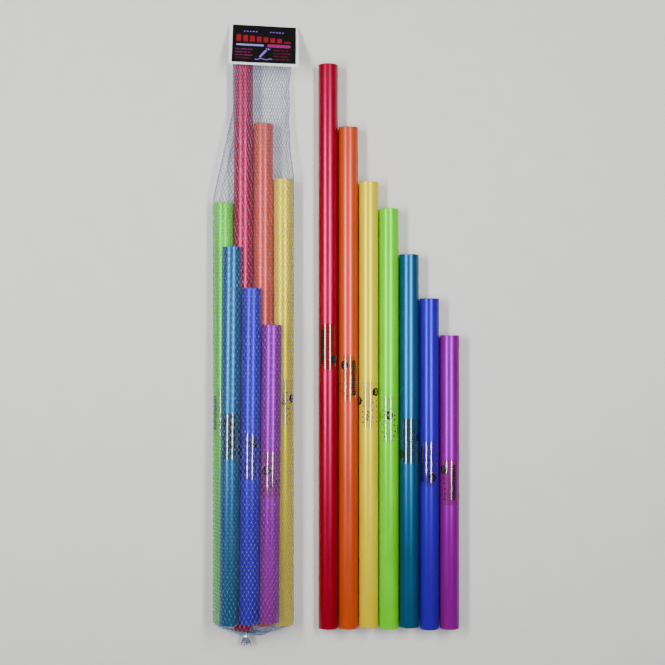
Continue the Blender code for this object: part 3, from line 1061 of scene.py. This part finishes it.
    def lay_tuft(self, start: float) -> None:
        """Let the cut ends fan out in locks from the station where the clip ends."""
        draw = self.chance.uniform
        locks = [(draw(-0.12, 0.12), draw(0.7, 1.0), draw(0.8, 1.0))
                 for _ in range(self.tuft_locks)]
        for r in range(1, self.tuft_rows + 1):
            share = r / self.tuft_rows
            row = []
            for k, shell in enumerate(self.shells):
                lock = int((k + self.phase) * self.tuft_locks / self.cells) % self.tuft_locks
                swing, fanned, long = locks[lock]
                shared = self.turn_of((lock + 0.5) * self.cells / self.tuft_locks) + swing
                turn = lerp(self.turn_of(k + self.phase), shared, 0.85 * share)
                fan = share ** 0.6 * fanned * draw(0.93, 1.0)
                width, depth = (lerp(shell, size / 2, fan) for size in self.tuft_size)
                length = self.tuft_length * share * long * draw(0.95, 1.0)
                place = self.bunched(turn, start - length, width, depth)
                place.z -= self.tuft_droop * share ** 2
                row.append(place)
            self.keep(row, lerp(0.7, 0.85, share))

    def looseness(self, place: Vector) -> float:
        """How slack the net hangs at a place, from 0 on a tube to 1 well past the tubes' heads."""
        held_to = self.longest.head
        for note in (Note.ORANGE, Note.YELLOW):
            if place.x > self.lies[note].middle.x - self.reach - 2 * MM:
                held_to = self.lies[note].head
        slack = smooth((place.y - held_to - self.slack_start) / self.slack_fade)
        return slack * (1 - smooth((place.y - self.longest.head) / self.mouth_fade))

    def clear_of_walls(self, place: Vector) -> None:
        """Push a crossing that has wandered into a tube back out to the tube's net radius."""
        for lie in self.lies.values():
            if lie.foot < place.y < lie.head:
                axis = lie.at(place.y)
                off = hypot(place.x - axis.x, place.z - axis.z)
                if off < self.reach:
                    place.x = axis.x + (place.x - axis.x) * self.reach / off
                    place.z = axis.z + (place.z - axis.z) * self.reach / off

    def relax(self) -> None:
        """Let the crossings wander a little, more where nothing holds the net open."""
        for row in self.rows[:-self.tuft_rows - 3]:
            for k, place in enumerate(row):
                y, loose = place.y, self.looseness(place)
                wave = sin(y / self.waves[0] + 0.35 * k) * sin(y / self.waves[1] - 0.21 * k)
                side = place.x - self.longest.middle.x - self.ripple_at
                ripple = self.ripple * smooth(side / self.ripple_fade)
                place.y += ripple * loose * sin(y / self.ripple_wave)
                place.x += self.chance.gauss(0, self.wander[0]) + self.sway * wave * loose
                place.y += self.chance.gauss(0, self.wander[1])
                place.z -= abs(wave) * self.sag * loose * (place.z > self.sag_above)
                self.clear_of_walls(place)
                place.z = max(self.floor, place.z)

    def outward(self) -> list[list[Vector]]:
        """The way that each crossing of each row faces: away from the middle of its row."""
        middles = [sum(row, Vector()) / len(row) for row in self.rows]
        return [[(place - middle).normalized() for place in row]
                for row, middle in zip(self.rows, middles)]

    def strand_mesh(self) -> Mesh:
        """The centre lines of all strands, one unbroken line each, with their thickness."""
        bm = bmesh.new()
        thickness = bm.verts.layers.float.new("thickness")
        rows = list(zip(self.rows, self.outward(), self.weights))
        for family in (1, -1):
            for k in range(self.cells):
                before = None
                for j, (row, facing, weight) in enumerate(rows):
                    at = (k + (j // 2 if family > 0 else -((j + 1) // 2))) % self.cells
                    lift = facing[at] * (self.offset_share * self.strand * family)
                    lift.z = max(lift.z, self.floor - row[at].z)
                    vert = bm.verts.new(row[at] + lift)
                    vert[thickness] = weight
                    if before:
                        bm.edges.new((before, vert))
                    before = vert
        return plain_mesh(bm, "strand_lines")

    def joint_mesh(self) -> Mesh:
        """The crossings as points, each with the way its joint runs and the way it faces."""
        bm = bmesh.new()
        thickness = bm.verts.layers.float.new("thickness")
        along, facing = (bm.verts.layers.float_vector.new(name) for name in ("along", "facing"))
        rows = list(zip(self.rows, self.outward(), self.weights))
        for (before, *_), (row, ways, weight), (after, *_) in zip(rows, rows[1:], rows[2:]):
            for k, place in enumerate(row):
                vert = bm.verts.new(place)
                vert[along] = (after[k] - before[k]).normalized()
                vert[facing] = ways[k]
                vert[thickness] = weight
        return plain_mesh(bm, "joint_points")

    def grown(self, name: str, mesh: Mesh, tree: Tree, finish: Finish,
              values: dict[str, object]) -> Object:
        """Run a tree on a mesh and keep the result as a plain mesh.

        Args:
            name: the new piece's name.
            mesh: what the tree works on.
            tree: the geometry nodes.
            finish: the piece's finish.
            values: the tree's other inputs by name.

        Returns:
            The plain piece.
        """
        holder = linked(name, mesh)
        modifier = holder.modifiers.new("net", "NODES")
        modifier.node_group = tree
        sockets = {item.name: item.identifier for item in tree.interface.items_tree
                   if item.in_out == "INPUT"}
        for label, value in (values | {"Material": finish.material()}).items():
            modifier[sockets[label]] = value
        bpy.context.view_layer.update()
        graph = bpy.context.evaluated_depsgraph_get()
        result = bpy.data.meshes.new_from_object(holder.evaluated_get(graph), depsgraph=graph)
        holder.modifiers.remove(modifier)
        bpy.data.objects.remove(holder)
        return shown(name, result, finish)

    def add(self) -> None:
        """Build the net's strands and joints, and seat them on the bag."""
        self.lay_body()
        self.lay_foot()
        self.relax()
        strands = self.grown("net_strands", self.strand_mesh(), strand_tree(), NET,
                             {"Diameter": self.strand, "Sides": self.strand_sides})
        joints = self.grown("net_joints", self.joint_mesh(), joint_tree(), WELD,
                            {"Width": self.joint_width, "Length": self.joint_length,
                             "Height": self.joint_height})
        seat(strands, "bag", "net_plastic", "net_sleeve")
        seat(joints, "bag", "net_plastic")


def new_tree(name: str, **inputs: str) -> tuple[Tree, Node]:
    """Start geometry nodes that take a geometry, the named inputs and a material.

    Args:
        name: the tree's name.
        inputs: the kind of socket of each further input.

    Returns:
        The tree and its input node.
    """
    tree = bpy.data.node_groups.new(name, "GeometryNodeTree")
    for label, kind in {"Geometry": "Geometry", **inputs, "Material": "Material"}.items():
        tree.interface.new_socket(label, in_out="INPUT", socket_type=f"NodeSocket{kind}")
    tree.interface.new_socket("Geometry", in_out="OUTPUT", socket_type="NodeSocketGeometry")
    return tree, add_node(tree, "NodeGroupInput")


def end_tree(tree: Tree, given: Node, shape: Node) -> None:
    """Realize a tree's shape, smooth it and give it the material input."""
    real = add_node(tree, "GeometryNodeRealizeInstances", links={"Geometry": shape})
    soft = add_node(tree, "GeometryNodeSetShadeSmooth", links={"Geometry": real})
    dressed = add_node(tree, "GeometryNodeSetMaterial",
                       links={"Geometry": soft, "Material": given.outputs["Material"]})
    add_node(tree, "NodeGroupOutput", links={"Geometry": dressed})


def named(tree: Tree, name: str, kind: str) -> Node:
    """Add a node that reads an attribute."""
    return add_node(tree, "GeometryNodeInputNamedAttribute", {"Name": name}, data_type=kind)


def strand_tree() -> Tree:
    """Geometry nodes that give each centre line its round strand."""
    tree, given = new_tree("net strands", Diameter="Float", Sides="Int")
    lines = add_node(tree, "GeometryNodeMeshToCurve", links={"Mesh": given.outputs["Geometry"]})
    sized = add_node(tree, "GeometryNodeSetCurveRadius",
                     links={"Curve": lines, "Radius": named(tree, "thickness", "FLOAT")})
    half = add_node(tree, "ShaderNodeMath", {1: 0.5}, {0: given.outputs["Diameter"]},
                    operation="MULTIPLY")
    circle = add_node(tree, "GeometryNodeCurvePrimitiveCircle",
                      links={"Resolution": given.outputs["Sides"], "Radius": half})
    tube = add_node(tree, "GeometryNodeCurveToMesh", {"Fill Caps": True},
                    {"Curve": sized, "Profile Curve": circle})
    end_tree(tree, given, tube)
    return tree


def joint_tree() -> Tree:
    """Geometry nodes that put a flattened bead on each crossing."""
    tree, given = new_tree("net joints", Width="Float", Length="Float", Height="Float")
    bead = add_node(tree, "GeometryNodeMeshUVSphere", {"Segments": 5, "Rings": 3, "Radius": 0.5})
    aligned = add_node(tree, "FunctionNodeAlignRotationToVector",
                       links={"Vector": named(tree, "along", "FLOAT_VECTOR")}, axis="Z")
    faced = add_node(tree, "FunctionNodeAlignRotationToVector",
                     links={"Rotation": aligned, "Vector": named(tree, "facing", "FLOAT_VECTOR")},
                     axis="X", pivot_axis="Z")
    shape = add_node(tree, "ShaderNodeCombineXYZ",
                     links={"X": given.outputs["Height"], "Y": given.outputs["Width"],
                            "Z": given.outputs["Length"]})
    sized = add_node(tree, "ShaderNodeVectorMath",
                     links={"Vector": shape, "Scale": named(tree, "thickness", "FLOAT")},
                     operation="SCALE")
    placed = add_node(tree, "GeometryNodeInstanceOnPoints",
                      links={"Points": given.outputs["Geometry"], "Instance": bead,
                             "Rotation": faced, "Scale": sized})
    end_tree(tree, given, placed)
    return tree


@dataclass
class NetClip:
    """The strip of soft metal crimped round the gathered net."""
    inner: float = 5.4 * MM
    wall: float = 1.2 * MM
    dent: float = 0.5 * MM
    roll: float = 0.35 * MM
    oval: float = 0.03
    split: float = radians(14)
    sides: int = 64
    stations: int = 24

    def add(self) -> None:
        """Build the split ring with its rolled edges and two crimped grooves, and seat it."""
        low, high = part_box("net_clip")
        half = (high.y - low.y) / 2
        profile = []
        for y in (half * (-1 + 2 * k / self.stations) for k in range(self.stations + 1)):
            groove = sum(exp(-((y - at * half) / (0.17 * half)) ** 2) for at in (-0.4, 0.4))
            roll = self.roll * smooth((abs(y) / half - 0.86) / 0.14)
            profile.append((self.inner + self.wall - self.dent * groove - roll, y))
        profile += [(self.inner, half), (self.inner, -half)]
        bm = bmesh.new()
        rings = []
        for k in range(self.sides + 1):
            turn = -pi / 2 + self.split / 2 + (TURN - self.split) * k / self.sides
            squeeze = 1 + self.oval * cos(2 * turn)
            rings.append([bm.verts.new((r * squeeze * cos(turn), y, r * sin(turn)))
                          for r, y in profile])
        bridge(bm, rings)
        bm.faces.new(rings[0])
        bm.faces.new(rings[-1])
        mesh = mesh_of(bm, "clip_ring")
        mesh.transform(Matrix.Translation((low + high) / 2))
        seat(shown("crimped_clip", mesh, ALUMINIUM), "bag", "clip_aluminium", "net_clip")


@dataclass(frozen=True)
class StripLight:
    """One long soft light: its lean from straight above in degrees, and its reach along Y.

    One that is for gloss only lights nothing by itself and only shows as a line on what shines.
    """
    name: str
    lean: float
    height: float
    width: float
    power: float
    gloss_only: bool = False
    ends: Point2 = (-0.62, 1.5)

    def add(self, x: float) -> None:
        """Hang the light over the line at x, tilted towards it."""
        data = bpy.data.lights.new(self.name, "AREA")
        data.shape = "RECTANGLE"
        data.size = self.width
        data.size_y = self.ends[1] - self.ends[0]
        data.energy = self.power
        lean = radians(self.lean)
        lamp = linked(self.name, data)
        lamp.location = (x + self.height * tan(lean), sum(self.ends) / 2, self.height)
        lamp.rotation_euler = (0, lean, 0)
        lamp.visible_diffuse = not self.gloss_only


@dataclass
class Studio:
    """The floor, the lights and the camera straight above."""
    camera_height: float = 2.953
    lens: float = 69.5
    sensor: float = 36.0
    camera_past_foot: float = 675.7 * MM
    camera_past_bundle: float = 180.4 * MM
    floor_half: float = 6.0
    floor_drop: float = 0.1 * MM
    lights: tuple[StripLight, ...] = (
        StripLight("strip_left", -35, 2.2, 0.36, 72),
        StripLight("strip_right", 23, 2.4, 0.32, 62),
        StripLight("glare_left", -35, 2.19, 0.36, 170, gloss_only=True),
        StripLight("glare_right", 23, 2.39, 0.32, 165, gloss_only=True))
    sky_colour: str = "EEF0F4"
    sky_strength: float = 0.22

    def add(self) -> None:
        """Build the whole studio."""
        bm = bmesh.new()
        bmesh.ops.create_grid(bm, x_segments=8, y_segments=8, size=self.floor_half)
        bmesh.ops.translate(bm, verts=bm.verts, vec=(0, 0, -self.floor_drop))
        floor = shown("paper_floor", mesh_of(bm, "paper_floor"), PAPER)
        packed = [lie_of(note, Group.PACKED).middle.x for note in BACK_LAYER]
        x = sum(packed) / len(packed) + self.camera_past_bundle
        data = bpy.data.cameras.new("camera")
        data.lens = self.lens
        data.sensor_width = self.sensor
        data.clip_end = 50
        camera = linked("camera", data)
        camera.location = (x, lie_of(Note.RED, Group.PACKED).foot + self.camera_past_foot,
                           self.camera_height)
        bpy.context.scene.camera = camera
        for light in self.lights:
            light.add(x)
        world = bpy.data.worlds.new("studio")
        bpy.context.scene.world = world
        world.use_nodes = True
        back = world.node_tree.nodes["Background"]
        back.inputs["Color"].default_value = linear(self.sky_colour)
        back.inputs["Strength"].default_value = self.sky_strength


def main() -> None:
    """Build every piece round the frame."""
    logging.basicConfig(level=logging.INFO, format="%(message)s")
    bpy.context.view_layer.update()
    Studio().add()
    for group in Group:
        for note in Note:
            TubeWithLabel(note, group).add()
    card = FoldedCard.from_frame()
    HeaderCard(card).add()
    NetSleeve(card).add()
    NetClip().add()


if __name__ == "__main__":
    main()
